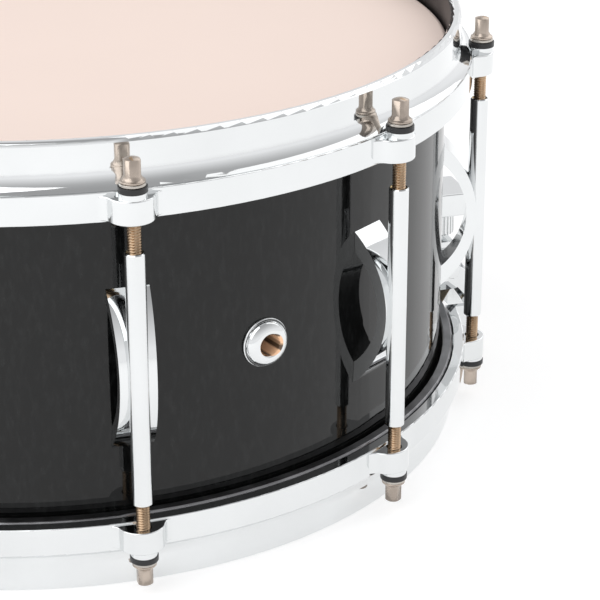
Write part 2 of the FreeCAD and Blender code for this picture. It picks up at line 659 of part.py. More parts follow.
def main():
    os.makedirs("parts", exist_ok=True)
    save("shell", make_shell())
    batter_hoop = make_hoop()
    save("batter_hoop", batter_hoop)
    save("snare_hoop", make_snare_hoop(batter_hoop))
    film, flesh = make_head_film(), make_flesh_hoop()
    save("batter_head", film)
    save("batter_flesh_hoop", flesh)
    save("snare_head", flip(film))
    save("snare_flesh_hoop", flip(flesh))

    rod, arch = make_rod(), make_arch()
    for number, angle in enumerate(lug_angles(), start=1):
        save(f"batter_rod_{number:02d}", place(rod, angle))
        save(f"snare_rod_{number:02d}", flip(place(rod, angle)))
        save(f"lug_arch_{number:02d}", place(arch, angle))
    save("lug_tubes", Part.makeCompound([place(make_tube(), angle) for angle in lug_angles()]))
    save("lug_inserts", make_inserts())
    seat = z_of(SEAT_REL)
    save("nylon_washers", both_sides(make_washer(NYLON_R, seat, NYLON_H)))
    save("steel_washers", both_sides(make_washer(STEEL_R, seat + NYLON_H, STEEL_H)))
    tip = SHELL_R + SCREW_GRIP
    lug_screws = [make_inner_screw(angle, rel, tip) for angle in lug_angles() for rel in LUG_SCREWS_REL]
    save("lug_screws", Part.makeCompound(lug_screws))

    save("vent_grommet", make_vent_grommet())
    save("vent_nut", make_vent_nut())

    save("strainer_base", make_strainer_base())
    save("strainer_knob", make_knob())
    save("strainer_carriage", make_carriage())
    save("strainer_clamp", make_clamp_plate())
    save("strainer_clamp_screws", make_clamp_screws())
    save("strainer_lever", make_lever())
    save("strainer_pivot_pins", make_pivot_pins())
    save("strainer_strap", make_strap())
    save("butt_base", place(make_butt_base(), 270))
    save("butt_clamp", place(make_clamp_plate(), 270))
    save("butt_clamp_screws", place(make_clamp_screws(), 270))
    save("butt_strap", place(make_strap(), 270))
    bracket_screws = [make_inner_screw(90, rel, tip) for rel in BRACKET_SCREWS_REL]
    bracket_screws += [make_inner_screw(270, rel, tip) for rel in BUTT_SCREWS_REL]
    save("bracket_screws", Part.makeCompound(bracket_screws))

    save("snare_wires", make_wires())
    save("snare_plate_strainer", make_end_plate())
    save("snare_plate_butt", place(make_end_plate(), 270))


main()
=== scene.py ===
import json
import math

import bmesh
import bpy
from mathutils import Matrix, Vector


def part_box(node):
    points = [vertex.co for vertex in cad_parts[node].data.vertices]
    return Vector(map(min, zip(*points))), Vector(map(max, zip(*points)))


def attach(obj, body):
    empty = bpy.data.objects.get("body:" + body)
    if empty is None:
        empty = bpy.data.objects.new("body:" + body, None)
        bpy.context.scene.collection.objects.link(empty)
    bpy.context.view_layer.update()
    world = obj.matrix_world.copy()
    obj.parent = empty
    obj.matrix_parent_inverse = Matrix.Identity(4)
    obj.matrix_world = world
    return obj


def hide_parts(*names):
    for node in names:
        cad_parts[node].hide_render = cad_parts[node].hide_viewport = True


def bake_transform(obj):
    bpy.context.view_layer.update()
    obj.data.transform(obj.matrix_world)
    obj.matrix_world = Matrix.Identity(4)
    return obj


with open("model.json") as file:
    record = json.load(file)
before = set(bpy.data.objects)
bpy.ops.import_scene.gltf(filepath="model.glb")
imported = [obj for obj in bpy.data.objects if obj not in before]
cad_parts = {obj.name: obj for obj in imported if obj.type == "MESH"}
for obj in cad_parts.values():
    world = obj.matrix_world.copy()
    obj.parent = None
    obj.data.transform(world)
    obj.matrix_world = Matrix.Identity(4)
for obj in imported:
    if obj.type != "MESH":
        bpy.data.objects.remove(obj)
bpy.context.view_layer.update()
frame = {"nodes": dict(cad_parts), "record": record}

bl_info = {
    "name": "Snare Drum Finishes",
    "version": (1, 0, 0),
    "blender": (4, 5, 0),
    "location": "3D View > Sidebar > Drum",
    "description": "Threads, snare coils, straps, lacquer, chrome and a studio for a snare drum",
    "category": "Add Mesh",
}

LUGS = 10
MM = 0.001
PAINT_DEPTH = 0.9 * MM      # from the shell's outside, where the lacquer ends
PAINT_FADE = 0.3 * MM       # how gradually a finish ends
HOOP_BORE_R = 177.9 * MM    # the hoops are painted near-black inside this radius, as painted shade
VENT_BORE_R = 4.55 * MM     # the vent is brown inside this radius
VENT_FADE = 0.05 * MM
WELD = 0.002 * MM           # vertices of a CAD mesh that are closer than this are one
THREAD_WELD = 0.01 * MM     # the same for a thread's two long edges
LEVEL = 0.9995              # rise of the normal of a face that lies level
UPRIGHT = 0.03              # and of one that stands upright


# Places read from the frame

def mid_height():
    """Height of the middle of the shell."""
    low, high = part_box("shell")
    return (low.z + high.z) / 2


# Settings

class DrumSizes(bpy.types.PropertyGroup):
    """Sizes of the pieces that are made here"""
    thread_pitch: bpy.props.FloatProperty(
        name="Thread pitch", description="Rise of the rod thread in one turn",
        default=1.06 * MM, unit="LENGTH")
    thread_depth: bpy.props.FloatProperty(
        name="Thread depth", description="Depth of the rod thread",
        default=0.55 * MM, unit="LENGTH")
    thread_length: bpy.props.FloatProperty(
        name="Thread length", description="Threaded length from the rod's tip",
        default=41 * MM, unit="LENGTH")
    wire_radius: bpy.props.FloatProperty(
        name="Snare wire radius", description="Radius of the wire that a snare coil is wound from",
        default=0.32 * MM, unit="LENGTH")
    coil_pitch: bpy.props.FloatProperty(
        name="Coil pitch", description="Distance between the turns of a snare coil",
        default=2.3 * MM, unit="LENGTH")
    strands: bpy.props.IntProperty(
        name="Snare strands", description="Number of snare coils side by side", default=20, min=2)
    strap_width: bpy.props.FloatProperty(
        name="Strap width", description="Width of both snare straps", default=20 * MM, unit="LENGTH")
    strap_thickness: bpy.props.FloatProperty(
        name="Strap thickness", description="Thickness of both snare straps",
        default=0.5 * MM, unit="LENGTH")


class DrumFinishes(bpy.types.PropertyGroup):
    """Colours and surface qualities"""
    chrome: bpy.props.FloatVectorProperty(
        name="Chrome", description="Reflection colour of the chrome plate",
        subtype="COLOR", size=4, default=(0.80, 0.815, 0.82, 1))
    lacquer: bpy.props.FloatVectorProperty(
        name="Lacquer", description="Colour of the shell's outside",
        subtype="COLOR", size=4, default=(0.003, 0.0032, 0.0032, 1))
    wood: bpy.props.FloatVectorProperty(
        name="Wood", description="Colour of the bare ply inside the shell",
        subtype="COLOR", size=4, default=(0.45, 0.28, 0.15, 1))
    # Partly painted light: the head is white, and the pink-cream tint of a warm light is painted into
    # this colour.
    coating_and_warm_light: bpy.props.FloatVectorProperty(
        name="Head coating", description="Colour of the sprayed coating on the batter head",
        subtype="COLOR", size=4, default=(0.90, 0.745, 0.67, 1))
    rod: bpy.props.FloatVectorProperty(
        name="Rod plating", description="Reflection colour of the tension rods",
        subtype="COLOR", size=4, default=(0.62, 0.53, 0.455, 1))
    thread: bpy.props.FloatVectorProperty(
        name="Thread plating", description="Reflection colour of the rods' threads",
        subtype="COLOR", size=4, default=(0.60, 0.43, 0.285, 1))
    strap: bpy.props.FloatVectorProperty(
        name="Strap", description="Colour of the snare straps",
        subtype="COLOR", size=4, default=(0.72, 0.62, 0.48, 1))


class DrumStudio(bpy.types.PropertyGroup):
    """Camera and light"""
    lens: bpy.props.FloatProperty(
        name="Lens", description="Focal length for a 36 mm sensor, in millimetres", default=132.8)
    camera_place: bpy.props.FloatVectorProperty(
        name="Camera place", description="Where the camera stands",
        subtype="TRANSLATION", default=(-0.1522, -0.9116, 0.4372))
    camera_turn: bpy.props.FloatProperty(
        name="Camera turn", description="Turn of the view from +Y towards +X",
        subtype="ANGLE", default=math.radians(16.53))
    camera_tilt: bpy.props.FloatProperty(
        name="Camera tilt", description="Tilt of the view below the horizon",
        subtype="ANGLE", default=math.radians(23.23))
    sky: bpy.props.FloatProperty(
        name="Sky light", description="Strength of the surround", default=1.0)
    key: bpy.props.FloatProperty(
        name="Key light", description="Power of the softbox above the left, in watts", default=26.0)
    fill: bpy.props.FloatProperty(
        name="Fill light", description="Power of the softbox above the right, in watts", default=10.0)
    floor_glow: bpy.props.FloatProperty(
        name="Floor glow", description="How far the floor's own light lifts its shadows", default=0.6)


# Materials

def new_material(name):
    material = bpy.data.materials.new(name)
    material.use_nodes = True
    material.node_tree.nodes.clear()
    shader = material.node_tree.nodes.new("ShaderNodeBsdfPrincipled")
    out = material.node_tree.nodes.new("ShaderNodeOutputMaterial")
    material.node_tree.links.new(shader.outputs["BSDF"], out.inputs["Surface"])
    return material, shader


def add(material, kind, inputs=(), **settings):
    """A shader node with its settings and its input values, given as (name, value) pairs."""
    node = material.node_tree.nodes.new("ShaderNode" + kind)
    for key, value in settings.items():
        setattr(node, key, value)
    for name, value in inputs:
        node.inputs[name].default_value = value
    return node


def link(material, source, target):
    material.node_tree.links.new(source, target)


def object_coords(material, stretch=(1, 1, 1)):
    coords = add(material, "TexCoord")
    mapping = add(material, "Mapping", [("Scale", stretch)])
    link(material, coords.outputs["Object"], mapping.inputs["Vector"])
    return mapping.outputs["Vector"]


def noise(material, coords, scale, detail=3.0, roughness=0.5):
    node = add(material, "TexNoise", [("Scale", scale), ("Detail", detail), ("Roughness", roughness)])
    link(material, coords, node.inputs["Vector"])
    return node.outputs["Fac"]


def spread(material, value, low, high, start=0.3, end=0.7):
    """Maps the part of a pattern from start to end onto low to high."""
    node = add(material, "MapRange", [
        ("From Min", start), ("From Max", end), ("To Min", low), ("To Max", high)])
    link(material, value, node.inputs["Value"])
    return node.outputs["Result"]


def set_stops(node, stops):
    """Gives a colour ramp its stops, as (place, colour) pairs."""
    elements = node.color_ramp.elements
    while len(elements) < len(stops):
        elements.new(0.5)
    for element, (place, colour) in zip(elements, stops):
        element.position = place
        element.color = colour


def ramp(material, value, stops):
    node = add(material, "ValToRGB")
    set_stops(node, stops)
    link(material, value, node.inputs["Fac"])
    return node.outputs["Color"]


def bump(material, shader, height, strength, distance):
    node = add(material, "Bump", [("Strength", strength), ("Distance", distance)])
    link(material, height, node.inputs["Height"])
    link(material, node.outputs["Normal"], shader.inputs["Normal"])


def shade(colour, factor):
    return tuple(c * factor for c in colour[:3]) + (1,)


def shader_of(material):
    return next(n for n in material.node_tree.nodes if n.type == "BSDF_PRINCIPLED")


def source_of(shader, name):
    """The pattern that already feeds one of the shader's inputs."""
    return shader.inputs[name].links[0].from_socket


def plated_metal(name, colour):
    """Plated metal: faint clouding of gloss and colour, and the slight waviness of polishing."""
    material, shader = new_material(name)
    coords = object_coords(material)
    clouds = noise(material, coords, scale=22.0, detail=4.0)
    fine = noise(material, coords, scale=198.0, detail=5.0, roughness=0.6)
    waves = noise(material, coords, scale=60.0, detail=1.0)
    shader.inputs["Metallic"].default_value = 1.0
    stops = [(0.3, shade(colour, 0.94)), (0.7, tuple(colour))]
    link(material, ramp(material, clouds, stops), shader.inputs["Base Color"])
    link(material, spread(material, fine, 0.03, 0.06), shader.inputs["Roughness"])
    bump(material, shader, waves, strength=0.5, distance=0.00002)
    return material


def turned_metal(name, colour, low_rough, high_rough):
    """Small turned or pressed metal parts: fine streaks with duller patches."""
    material, shader = new_material(name)
    coords = object_coords(material, (1, 1, 6))
    shader.inputs["Metallic"].default_value = 1.0
    streaks = noise(material, coords, scale=480.0, detail=4.0)
    patches = noise(material, object_coords(material), scale=90.0, detail=3.0)
    stops = [(0.32, shade(colour, 0.62)), (0.68, tuple(colour))]
    link(material, ramp(material, patches, stops), shader.inputs["Base Color"])
    link(material, spread(material, patches, low_rough, high_rough), shader.inputs["Roughness"])
    bump(material, shader, streaks, strength=0.35, distance=0.00004)
    return material


def across_axis(material, turn=0.0, shift=(0, 0, 0), keep=(1, 1, 0)):
    """Place across a line: the object coordinates turned about Z, shifted and flattened on it."""
    coords = add(material, "TexCoord")
    turned_to = add(material, "Mapping", [("Rotation", (0, 0, turn)), ("Location", shift)])
    flat = add(material, "Mapping", [("Scale", keep)])
    link(material, coords.outputs["Object"], turned_to.inputs["Vector"])
    link(material, turned_to.outputs["Vector"], flat.inputs["Vector"])
    return flat.outputs["Vector"]


def distance(material, place):
    """Length of a vector pattern."""
    length = add(material, "VectorMath", operation="LENGTH")
    link(material, place, length.inputs[0])
    return length.outputs["Value"]


def mix(material, kind, factor, a, b):
    """Mix of two patterns; kind is RGBA or FLOAT."""
    node = add(material, "Mix", data_type=kind)
    for name, source in (("Factor", factor), ("A", a), ("B", b)):
        link(material, source, node.inputs[name])
    return node.outputs["Result"]


def lacquered_ply(name, lacquer, wood):
    """Shell: black gloss outside over faint open grain, bare ply inside and on the bearing edges."""
    material, shader = new_material(name)
    coords = object_coords(material)
    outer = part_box("shell")[1].x
    away = distance(material, across_axis(material))
    inside = spread(material, away, 1, 0, outer - PAINT_DEPTH - PAINT_FADE, outer - PAINT_DEPTH)
    pore_coords = object_coords(material, (1, 1, 0.35))
    pores = noise(material, pore_coords, scale=420.0, detail=5.0, roughness=0.7)
    dust = noise(material, coords, scale=1500.0, detail=2.0)
    grain_coords = object_coords(material, (1, 1, 0.06))
    grain = noise(material, grain_coords, scale=130.0, detail=6.0, roughness=0.6)
    paint = ramp(material, pores, [(0.48, tuple(lacquer)), (0.78, shade(lacquer, 4.5))])
    ply = ramp(material, grain, [
        (0.3, shade(wood, 0.55)), (0.5, shade(wood, 0.85)), (0.72, tuple(wood))])
    link(material, mix(material, "RGBA", inside, paint, ply), shader.inputs["Base Color"])
    gloss = spread(material, dust, 0.035, 0.075)
    matt = spread(material, grain, 0.45, 0.62)
    link(material, mix(material, "FLOAT", inside, gloss, matt), shader.inputs["Roughness"])
    shader.inputs["Specular IOR Level"].default_value = 0.36
    waves = noise(material, coords, scale=55.0, detail=1.0)
    bump(material, shader, waves, strength=0.22, distance=0.00005)
    return material


def vent_chrome(name, colour, bore_colour):
    """Chrome grommet whose bore is coloured brown, with darker streaks along its axis."""
    material = plated_metal(name, colour)
    shader = shader_of(material)
    chrome = source_of(shader, "Base Color")
    low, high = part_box("vent_grommet")
    centre = (low + high) / 2
    turn = -math.atan2(centre.y, centre.x)
    across = across_axis(material, turn, (0, 0, -centre.z), (0, 1, 1))
    away = distance(material, across)
    start, end = VENT_BORE_R - VENT_FADE, VENT_BORE_R + VENT_FADE
    in_bore = spread(material, away, 1, 0, start, end)
    streaks = noise(material, across, scale=330.0, detail=3.0)
    # Brown bore colour with darker streaks along the axis.
    bare = ramp(material, streaks, [(0.43, shade(bore_colour, 0.12)), (0.52, tuple(bore_colour))])
    link(material, mix(material, "RGBA", in_bore, chrome, bare), shader.inputs["Base Color"])
    link(material, spread(material, away, 0, 1, start, end), shader.inputs["Metallic"])
    return material


def chrome_with_painted_shade_in_bore(name, colour):
    """Chrome hoop whose bore is painted near-black and satin: painted shade in place of the reflection
    the chrome would show.
    """
    material = plated_metal(name, colour)
    shader = shader_of(material)
    chrome = source_of(shader, "Base Color")
    gloss = source_of(shader, "Roughness")
    away = distance(material, across_axis(material))
    bore = spread(material, away, 1, 0, HOOP_BORE_R - PAINT_FADE, HOOP_BORE_R)
    cloud = noise(material, object_coords(material), scale=40.0, detail=3.0)
    # Painted shade: a near-black bore colour in place of the reflection that chrome would show there.
    painted_shade_colour = ramp(material, cloud, [(0.3, (0.020, 0.019, 0.021, 1)), (0.7, (0.035, 0.033, 0.037, 1))])
    satin = spread(material, cloud, 0.3, 0.42)
    link(material, mix(material, "RGBA", bore, chrome, painted_shade_colour), shader.inputs["Base Color"])
    link(material, mix(material, "FLOAT", bore, gloss, satin), shader.inputs["Roughness"])
    return material


def coated_film(name, colour):
    """Sprayed matt coating: fine even tooth with very faint cloudiness."""
    material, shader = new_material(name)
    coords = object_coords(material)
    cloud = noise(material, coords, scale=14.0, detail=3.0)
    tooth = noise(material, coords, scale=2600.0, detail=2.0, roughness=0.7)
    stops = [(0.3, shade(colour, 0.985)), (0.7, tuple(colour))]
    link(material, ramp(material, cloud, stops), shader.inputs["Base Color"])
    link(material, spread(material, tooth, 0.55, 0.72), shader.inputs["Roughness"])
    shader.inputs["Specular IOR Level"].default_value = 0.35
    bump(material, shader, tooth, strength=0.35, distance=0.00005)
    return material


def clear_film(name):
    """Thin hazy film of the snare side."""
    material, shader = new_material(name)
    coords = object_coords(material)
    haze = noise(material, coords, scale=9.0, detail=4.0)
    stops = [(0.3, (0.52, 0.51, 0.48, 1)), (0.7, (0.60, 0.59, 0.56, 1))]
    link(material, ramp(material, haze, stops), shader.inputs["Base Color"])
    link(material, spread(material, haze, 0.16, 0.26), shader.inputs["Roughness"])
    waves = noise(material, coords, scale=30.0, detail=1.0)
    bump(material, shader, waves, strength=0.15, distance=0.0001)
    return material


def moulded(name, colour, low_rough, high_rough):
    """Moulded plastic or nylon: slight mottling and a fine matt skin."""
    material, shader = new_material(name)
    coords = object_coords(material)
    skin = noise(material, coords, scale=1100.0, detail=3.0)
    mottle = noise(material, coords, scale=120.0, detail=2.0)
    stops = [(0.3, shade(colour, 0.82)), (0.7, tuple(colour))]
    link(material, ramp(material, mottle, stops), shader.inputs["Base Color"])
    link(material, spread(material, mottle, low_rough, high_rough), shader.inputs["Roughness"])
    bump(material, shader, skin, strength=0.3, distance=0.00004)
    return material


MATERIALS = {}


def make_materials(finishes):
    MATERIALS.update({
        "chrome": plated_metal("Chrome plate", finishes.chrome),
        "hoop": chrome_with_painted_shade_in_bore("Hoop chrome", finishes.chrome),
        "vent": vent_chrome("Vent chrome", finishes.chrome, (1.0, 0.62, 0.38, 1)),
        "lacquer": lacquered_ply("Lacquered ply", finishes.lacquer, finishes.wood),
        "coated": coated_film("Head coating", finishes.coating_and_warm_light),
        "clear": clear_film("Snare film"),
        "flesh": turned_metal("Flesh hoop aluminium", (0.30, 0.30, 0.31, 1), 0.28, 0.42),
        "rod": turned_metal("Rod nickel", finishes.rod, 0.22, 0.34),
        "thread": turned_metal("Thread", finishes.thread, 0.26, 0.38),
        "washer": turned_metal("Washer steel", (0.62, 0.58, 0.53, 1), 0.2, 0.34),
        "nylon": moulded("Black nylon", (0.012, 0.012, 0.013, 1), 0.32, 0.45),
        "brass": turned_metal("Brass", (0.70, 0.50, 0.22, 1), 0.22, 0.36),
        "zinc": turned_metal("Zinc plate", (0.55, 0.56, 0.58, 1), 0.26, 0.4),
        "snare": turned_metal("Snare wire steel", (0.70, 0.70, 0.72, 1), 0.16, 0.28),
        "strap": moulded("Snare strap", finishes.strap, 0.38, 0.52),
    })


# Which material each slot of the CAD model gets, and each node that differs from its slot
CAD_FINISH = {
    "chrome": "chrome", "coated_film": "coated", "clear_film": "clear", "flesh_ring": "flesh",
    "washer_steel": "washer", "nylon": "nylon", "brass": "brass", "zinc": "zinc",
    "rod_steel": "rod", "snare_steel": "snare", "strap": "strap", "shell_lacquer": "lacquer",
}
NODE_FINISH = {"vent_grommet": "vent"}


def finish_cad_nodes():
    """Gives every CAD node the worked-up material of its slot, or its own."""
    for part in frame["record"]["subparts"]:
        node = frame["nodes"][part["node"]]
        finish = NODE_FINISH.get(part["node"], CAD_FINISH[part["material_slot"]])
        material = MATERIALS[finish]
        for slot in node.material_slots:
            slot.material = material


# Mesh help

def mesh_object(name, mesh, material=None):
    thing = bpy.data.objects.new(name, mesh)
    bpy.context.scene.collection.objects.link(thing)
    if material:
        mesh.materials.append(material)
    return thing


def smooth(mesh, angle):
    mesh.polygons.foreach_set("use_smooth", [True] * len(mesh.polygons))
    mesh.set_sharp_from_angle(angle=angle)


def to_plain_mesh(thing, name):
    """Evaluates an object's modifiers and returns a new object that holds only the result."""
    graph = bpy.context.evaluated_depsgraph_get()
    graph.update()
    mesh = bpy.data.meshes.new_from_object(thing.evaluated_get(graph))
    bpy.data.objects.remove(thing)
    mesh.name = name
    return mesh_object(name, mesh)


# Geometry Nodes help

def new_tree(name, inputs):
    """A geometry node tree with the named sizes as inputs; returns the tree and its input node."""
    tree = bpy.data.node_groups.new(name, "GeometryNodeTree")
    tree.interface.new_socket("Geometry", in_out="INPUT", socket_type="NodeSocketGeometry")
    for label, kind in inputs:
        tree.interface.new_socket(label, in_out="INPUT", socket_type="NodeSocket" + kind)
    tree.interface.new_socket("Geometry", in_out="OUTPUT", socket_type="NodeSocketGeometry")
    source = tree.nodes.new("NodeGroupInput")
    return tree, source


def maths(tree, operation, a, b=None):
    """Math node on two values or sockets."""
    node = tree.nodes.new("ShaderNodeMath")
    node.operation = operation
    for i, value in enumerate((a, b)):
        if value is None:
            continue
        if isinstance(value, (int, float)):
            node.inputs[i].default_value = value
        else:
            tree.links.new(value, node.inputs[i])
    return node.outputs[0]


def end_tree(tree, geometry, material_socket):
    """Realize Instances, Set Material and the output."""
    real = tree.nodes.new("GeometryNodeRealizeInstances")
    paint = tree.nodes.new("GeometryNodeSetMaterial")
    out = tree.nodes.new("NodeGroupOutput")
    tree.links.new(geometry, real.inputs[0])
    tree.links.new(real.outputs[0], paint.inputs["Geometry"])
    tree.links.new(material_socket, paint.inputs["Material"])
    tree.links.new(paint.outputs[0], out.inputs[0])


def run_tree(tree, name, values):
    """Runs a tree on an empty mesh with its inputs set and returns the plain result."""
    thing = mesh_object(name + "_base", bpy.data.meshes.new(name + "_base"))
    modifier = thing.modifiers.new("Nodes", "NODES")
    modifier.node_group = tree
    for item in tree.interface.items_tree:
        if item.in_out == "INPUT" and item.name in values:
            modifier[item.identifier] = values[item.name]
    return to_plain_mesh(thing, name)


def thread_tree():
    """A screw thread: a grid wrapped round Z whose radius follows a V-shaped wave along the helix."""
    tree, source = new_tree("Screw thread", [
        ("Radius", "Float"), ("Pitch", "Float"), ("Depth", "Float"), ("Length", "Float"),
        ("Around", "Int"), ("Rings", "Int"), ("Material", "Material")])
    grid = tree.nodes.new("GeometryNodeMeshGrid")
    grid.inputs["Size X"].default_value = 1
    grid.inputs["Size Y"].default_value = 1
    tree.links.new(source.outputs["Around"], grid.inputs["Vertices X"])
    tree.links.new(source.outputs["Rings"], grid.inputs["Vertices Y"])
    place = tree.nodes.new("GeometryNodeInputPosition")
    split = tree.nodes.new("ShaderNodeSeparateXYZ")
    tree.links.new(place.outputs[0], split.inputs[0])
    share = maths(tree, "ADD", split.outputs["X"], 0.5)
    rise = maths(tree, "ADD", split.outputs["Y"], 0.5)
    height = maths(tree, "MULTIPLY", rise, source.outputs["Length"])
    angle = maths(tree, "MULTIPLY", share, 2 * math.pi)
    turns = maths(tree, "SUBTRACT", maths(tree, "DIVIDE", height, source.outputs["Pitch"]), share)
    wave = maths(tree, "PINGPONG", turns, 0.5)
    cut = maths(tree, "MULTIPLY", maths(tree, "MULTIPLY", wave, 2.0), source.outputs["Depth"])
    radius = maths(tree, "SUBTRACT", source.outputs["Radius"], cut)
    wrapped = tree.nodes.new("ShaderNodeCombineXYZ")
    tree.links.new(maths(tree, "MULTIPLY", radius, maths(tree, "COSINE", angle)), wrapped.inputs["X"])
    tree.links.new(maths(tree, "MULTIPLY", radius, maths(tree, "SINE", angle)), wrapped.inputs["Y"])
    tree.links.new(height, wrapped.inputs["Z"])
    move = tree.nodes.new("GeometryNodeSetPosition")
    tree.links.new(grid.outputs["Mesh"], move.inputs["Geometry"])
    tree.links.new(wrapped.outputs[0], move.inputs["Position"])
    weld = tree.nodes.new("GeometryNodeMergeByDistance")
    weld.inputs["Distance"].default_value = THREAD_WELD
    tree.links.new(move.outputs[0], weld.inputs["Geometry"])
    end_tree(tree, weld.outputs[0], source.outputs["Material"])
    return tree


def coil_tree():
    """Snare strands: one wound coil laid along X, repeated side by side along Y."""
    tree, source = new_tree("Snare coils", [
        ("Coil radius", "Float"), ("Wire radius", "Float"), ("Length", "Float"), ("Turns", "Float"),
        ("Strands", "Int"), ("Spacing", "Float"), ("Material", "Material")])
    spiral = tree.nodes.new("GeometryNodeCurveSpiral")
    spiral.inputs["Resolution"].default_value = 8
    tree.links.new(source.outputs["Turns"], spiral.inputs["Rotations"])
    tree.links.new(source.outputs["Coil radius"], spiral.inputs["Start Radius"])
    tree.links.new(source.outputs["Coil radius"], spiral.inputs["End Radius"])
    tree.links.new(source.outputs["Length"], spiral.inputs["Height"])
    ring = tree.nodes.new("GeometryNodeCurvePrimitiveCircle")
    ring.inputs["Resolution"].default_value = 4
    tree.links.new(source.outputs["Wire radius"], ring.inputs["Radius"])
    wire = tree.nodes.new("GeometryNodeCurveToMesh")
    wire.inputs["Fill Caps"].default_value = True
    tree.links.new(spiral.outputs[0], wire.inputs["Curve"])
    tree.links.new(ring.outputs[0], wire.inputs["Profile Curve"])
    row = tree.nodes.new("GeometryNodeMeshLine")
    offset = tree.nodes.new("ShaderNodeCombineXYZ")
    start = tree.nodes.new("ShaderNodeCombineXYZ")
    tree.links.new(source.outputs["Spacing"], offset.inputs["Y"])
    half = maths(tree, "MULTIPLY", maths(tree, "SUBTRACT", source.outputs["Strands"], 1.0), -0.5)
    tree.links.new(maths(tree, "MULTIPLY", half, source.outputs["Spacing"]), start.inputs["Y"])
    tree.links.new(source.outputs["Strands"], row.inputs["Count"])
    tree.links.new(start.outputs[0], row.inputs["Start Location"])
    tree.links.new(offset.outputs[0], row.inputs["Offset"])
    lay = tree.nodes.new("GeometryNodeInstanceOnPoints")
    lay.inputs["Rotation"].default_value = (0, math.pi / 2, 0)
    tree.links.new(row.outputs[0], lay.inputs["Points"])
    tree.links.new(wire.outputs[0], lay.inputs["Instance"])
    end_tree(tree, lay.outputs[0], source.outputs["Material"])
    return tree


# Hoops

def even_normals(mesh):
    """Corner normals that no longer lean towards the next face on level and upright faces."""
    normals = [Vector(corner.vector) for corner in mesh.corner_normals]
    for face in mesh.polygons:
        for corner in face.loop_indices:
            if abs(face.normal.z) > LEVEL:
                normals[corner] = face.normal.copy()
            elif abs(face.normal.z) < UPRIGHT:
                normals[corner].z = 0
                normals[corner].normalize()
    mesh.normals_split_custom_set(normals)


def make_hoops():
    """Both hoops with even normals, so that their flat and turned faces mirror without patches."""
    for side in ("batter", "snare"):
        mesh = frame["nodes"][side + "_hoop"].data.copy()
        mesh.materials.clear()
        even_normals(mesh)
        hoop = mesh_object("hoop_" + side, mesh, MATERIALS["hoop"])
        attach(hoop, "drum")
        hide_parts(side + "_hoop")


# Tension rods

THREAD_SIDES = 20       # spans round a thread
RINGS_PER_TURN = 6      # spans along one turn of it
TIP_LENGTH = 4 * MM     # of the rod's plain end, where the thread's radius is read


def plain_head(name, top_up):
    """The rod's head, flange and plain shank, cut from the CAD node where the thread begins."""
    sizes = bpy.context.scene.drum_sizes
    low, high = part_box(name)
    form = bmesh.new()
    form.from_mesh(frame["nodes"][name].data)
    bmesh.ops.remove_doubles(form, verts=form.verts, dist=WELD)
    level = low.z + sizes.thread_length if top_up else high.z - sizes.thread_length
    bmesh.ops.bisect_plane(
        form, geom=form.verts[:] + form.edges[:] + form.faces[:], plane_co=(0, 0, level),
        plane_no=(0, 0, 1), clear_inner=top_up, clear_outer=not top_up)
    bmesh.ops.holes_fill(form, edges=[e for e in form.edges if e.is_boundary])
    bmesh.ops.triangulate(form, faces=[f for f in form.faces if len(f.verts) > 4])
    return form, level


def make_rod(name, body, thread):
    """One tension rod: the keyed head on a shank with a real thread; turns with its own body."""
    sizes = bpy.context.scene.drum_sizes
    low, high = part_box(name)
    top_up = name.startswith("batter")
    form, level = plain_head(name, top_up)
    axis = Vector(((low.x + high.x) / 2, (low.y + high.y) / 2, level))
    screw = thread.copy()
    if top_up:
        screw.transform(Matrix.Rotation(math.pi, 4, "X"))
    screw.transform(Matrix.Translation(axis))
    head_faces = len(form.faces)
    form.from_mesh(screw)
    mesh = bpy.data.meshes.new(name + "_rod")
    form.to_mesh(mesh)
    form.free()
    bpy.data.meshes.remove(screw)
    smooth(mesh, math.radians(32))
    mesh.materials.append(MATERIALS["rod"])
    mesh.materials.append(MATERIALS["thread"])
    for face in mesh.polygons:
        face.material_index = int(face.index >= head_faces)
    rod = mesh_object("rod_" + name.replace("_rod", ""), mesh)
    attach(rod, body)
    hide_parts(name)


def make_rods():
    sizes = bpy.context.scene.drum_sizes
    rings = int(sizes.thread_length / sizes.thread_pitch * RINGS_PER_TURN) + 1
    low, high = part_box("batter_rod_01")
    axis_y = (low.y + high.y) / 2
    tip = [v.co for v in frame["nodes"]["batter_rod_01"].data.vertices if v.co.z < low.z + TIP_LENGTH]
    radius = max(math.hypot(p.x, p.y - axis_y) for p in tip)
    screw = run_tree(thread_tree(), "thread", {
        "Radius": radius, "Pitch": sizes.thread_pitch, "Depth": sizes.thread_depth,
        "Length": sizes.thread_length, "Around": THREAD_SIDES + 1, "Rings": rings,
        "Material": MATERIALS["thread"]})
    thread = screw.data.copy()
    bpy.data.objects.remove(screw)
    for side in ("batter", "snare"):
        for number in range(1, LUGS + 1):
            make_rod(f"{side}_rod_{number:02d}", f"{side}_tension_{number:02d}", thread)


# Snare wires and straps

def make_snare_coils():
    sizes = bpy.context.scene.drum_sizes
    low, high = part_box("snare_wires")
    length = high.x - low.x
    outer = (high.z - low.z) / 2
    coils = run_tree(coil_tree(), "snare_coils", {
        "Coil radius": outer - sizes.wire_radius, "Wire radius": sizes.wire_radius,
        "Length": length, "Turns": length / sizes.coil_pitch, "Strands": sizes.strands,
        "Spacing": (high.y - low.y - 2 * outer) / (sizes.strands - 1), "Material": MATERIALS["snare"]})
    coils.data.transform(Matrix.Translation((low.x, (low.y + high.y) / 2, (low.z + high.z) / 2)))
    smooth(coils.data, math.radians(60))
    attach(coils, "snares")
    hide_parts("snare_wires")


# Middle of a strap from its clamp to the wires' end plate: distance from the drum's axis and
# height above the middle of the shell, in millimetres.
STRAP_PATH = ((191.25, -46.5), (191.25, -56.8), (184.0, -69.1), (183.2, -71.7), (175.1, -77.25),
              (161.0, -77.25))
STRAP_BEND = 1.2    # how far from a corner of the path its bend begins, in millimetres
BEND_STEPS = 6      # spans in a bend


